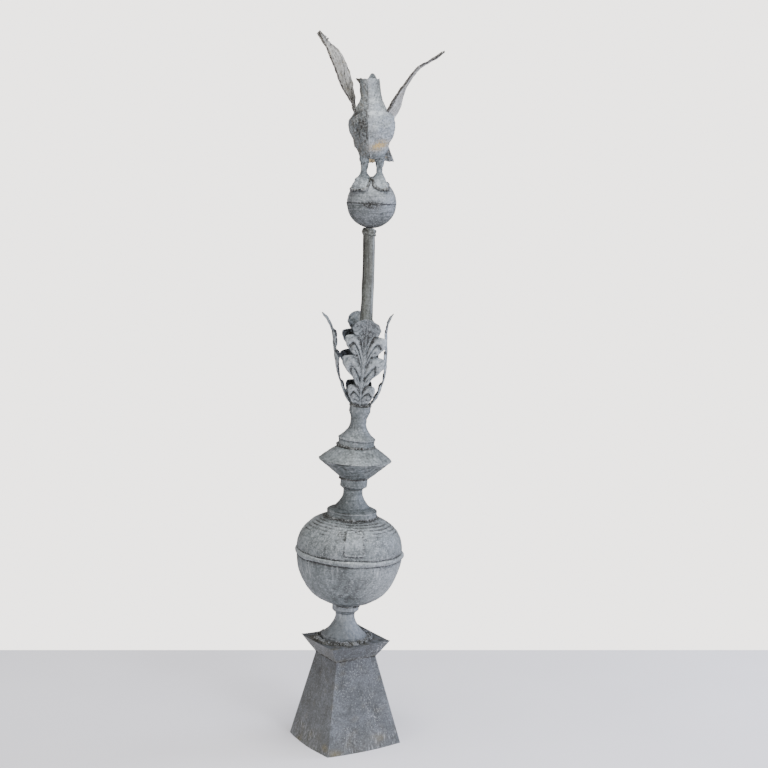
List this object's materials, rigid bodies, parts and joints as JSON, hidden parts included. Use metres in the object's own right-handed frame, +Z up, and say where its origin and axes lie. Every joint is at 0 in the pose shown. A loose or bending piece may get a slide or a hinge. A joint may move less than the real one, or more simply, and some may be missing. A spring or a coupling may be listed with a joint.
{
  "type": "roof finial",
  "caption": "Leaning sheet-zinc roof finial: square pedestal, banded globe, sharp disc, acanthus leaves round a bowed stem, and a headless bird with raised wings on an orb",
  "frame": {"origin": "centre of the pedestal's flat underside", "axes": "Z is up, along the finial's height. X and Y are square to the pedestal's faces. The bird and the front leaf look toward -Y turned 30 degrees to -X. The shaft leans about 4 degrees toward +X turned 30 degrees to -Y."},
  "size_m": [0.3272, 0.2647, 1.6007],
  "materials": {
    "weathered_zinc": "matte grey patina with pale runs and dark seams",
    "stamped_zinc": "pale matte patina, darker in the hollows",
    "browned_zinc": "satin brown-grey patina in long streaks",
    "old_solder": "rough dull solder and dirt"
  },
  "bodies": {
    "root": {"pedestal": "weathered_zinc", "pedestal_cap": "weathered_zinc", "solder_ring": "old_solder", "lower_neck": "weathered_zinc", "globe_lower_half": "weathered_zinc", "globe_upper_half": "weathered_zinc", "middle_neck": "weathered_zinc", "disc_lower_cone": "weathered_zinc", "disc_upper_cone": "weathered_zinc", "upper_neck": "weathered_zinc", "acanthus_leaf_front": "stamped_zinc", "acanthus_leaf_right": "stamped_zinc", "acanthus_leaf_back": "stamped_zinc", "acanthus_leaf_left": "stamped_zinc", "stem": "browned_zinc", "stem_collar": "browned_zinc", "orb_lower_half": "weathered_zinc", "orb_upper_half": "weathered_zinc", "leg_right": "stamped_zinc", "leg_left": "stamped_zinc", "bird_body": "stamped_zinc", "wing_right": "stamped_zinc", "wing_left": "stamped_zinc", "tail": "stamped_zinc"}
  },
  "joints": []
}
